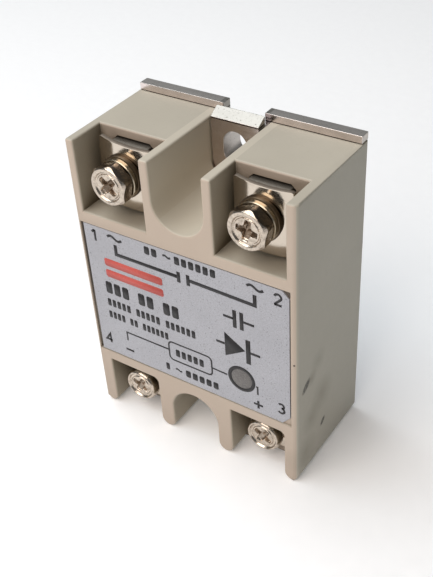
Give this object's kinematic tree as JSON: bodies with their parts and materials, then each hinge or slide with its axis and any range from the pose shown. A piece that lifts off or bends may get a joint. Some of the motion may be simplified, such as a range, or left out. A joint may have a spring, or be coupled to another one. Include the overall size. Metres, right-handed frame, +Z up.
{
  "type": "solid state relay",
  "caption": "Panel-mount solid state relay with screw terminals at both ends, a label panel with a lamp window, and a metal base plate with slotted mounting lugs.",
  "frame": {"origin": "on the ground under the centre of the bounding box, with the relay standing on its control-terminal end", "axes": "+Z up the relay's length towards the power terminals, -Y out of the label face, +Y out of the base plate's mounting face"},
  "size_m": [0.045, 0.024, 0.0615],
  "materials": {
    "cover_plastic": "fine moulded satin",
    "plate_metal": "bright nickel plated, sheared edges",
    "label_print": "silver-grey printed film",
    "window_plastic": "translucent grey",
    "led_lens": "clear red",
    "board_laminate": "solder mask green",
    "chip_plastic": "moulded black epoxy",
    "resistor_film": "lacquered",
    "resistor_blue": "lacquered",
    "capacitor_film": "dipped resin",
    "ceramic_white": "fired alumina",
    "resin_black": "poured epoxy",
    "lead_copper": "tinned copper wire",
    "bar_brass": "nickel plated brass",
    "screw_nickel": "bright nickel plated steel",
    "washer_nickel": "nickel plated steel"
  },
  "bodies": {
    "root": {"housing": "cover_plastic", "base_plate": "plate_metal", "label": "label_print", "led_window": "window_plastic", "indicator_led": "led_lens", "circuit_board": "board_laminate", "optocoupler": "chip_plastic", "input_transistor": "chip_plastic", "protection_diode": "chip_plastic", "input_resistors": "resistor_film", "gate_resistors": "resistor_blue", "snubber_capacitor": "capacitor_film", "snubber_resistor": "ceramic_white", "power_triac": "chip_plastic", "ceramic_insulator": "ceramic_white", "gate_lead": "lead_copper", "potting_resin": "resin_black", "terminal_bar_1": "bar_brass", "terminal_bar_2": "bar_brass", "terminal_bar_3": "bar_brass", "terminal_bar_4": "bar_brass", "terminal_nut_1": "washer_nickel", "terminal_nut_2": "washer_nickel", "terminal_nut_3": "washer_nickel", "terminal_nut_4": "washer_nickel"},
    "clamp_1": {"clamp_plate_1": "washer_nickel", "spring_washer_1": "washer_nickel", "flat_washer_1": "washer_nickel"},
    "screw_1": {"terminal_screw_1": "screw_nickel"},
    "clamp_2": {"clamp_plate_2": "washer_nickel", "spring_washer_2": "washer_nickel", "flat_washer_2": "washer_nickel"},
    "screw_2": {"terminal_screw_2": "screw_nickel"},
    "clamp_3": {"clamp_plate_3": "washer_nickel", "spring_washer_3": "washer_nickel"},
    "screw_3": {"terminal_screw_3": "screw_nickel"},
    "clamp_4": {"clamp_plate_4": "washer_nickel", "spring_washer_4": "washer_nickel"},
    "screw_4": {"terminal_screw_4": "screw_nickel"}
  },
  "joints": [
    {"name": "clamp_travel_1", "type": "slide", "parent": "root", "child": "clamp_1", "axis": [0, 1, 0], "range_m": [-0.0035, 0.0007]},
    {"name": "screw_turn_1", "type": "hinge", "parent": "clamp_1", "child": "screw_1", "pos_m": [-0.01375, -0.012, 0.0532], "axis": [0, 1, 0], "range_deg": [-1801, 361]},
    {"name": "clamp_travel_2", "type": "slide", "parent": "root", "child": "clamp_2", "axis": [0, 1, 0], "range_m": [-0.0035, 0.0007]},
    {"name": "screw_turn_2", "type": "hinge", "parent": "clamp_2", "child": "screw_2", "pos_m": [0.01375, -0.012, 0.0532], "axis": [0, 1, 0], "range_deg": [-1801, 361]},
    {"name": "clamp_travel_3", "type": "slide", "parent": "root", "child": "clamp_3", "axis": [0, 1, 0], "range_m": [-0.003, 0.0005]},
    {"name": "screw_turn_3", "type": "hinge", "parent": "clamp_3", "child": "screw_3", "pos_m": [0.01405, -0.0098, 0.0063], "axis": [0, 1, 0], "range_deg": [-2161, 361]},
    {"name": "clamp_travel_4", "type": "slide", "parent": "root", "child": "clamp_4", "axis": [0, 1, 0], "range_m": [-0.0025, 0.001]},
    {"name": "screw_turn_4", "type": "hinge", "parent": "clamp_4", "child": "screw_4", "pos_m": [-0.01405, -0.0104, 0.0063], "axis": [0, 1, 0], "range_deg": [-1801, 721]}
  ],
  "couplings": [
    {"joint": "screw_turn_1", "follows": "clamp_travel_1", "rad_per_m": 8976},
    {"joint": "screw_turn_2", "follows": "clamp_travel_2", "rad_per_m": 8976},
    {"joint": "screw_turn_3", "follows": "clamp_travel_3", "rad_per_m": 12566},
    {"joint": "screw_turn_4", "follows": "clamp_travel_4", "rad_per_m": 12566}
  ]
}
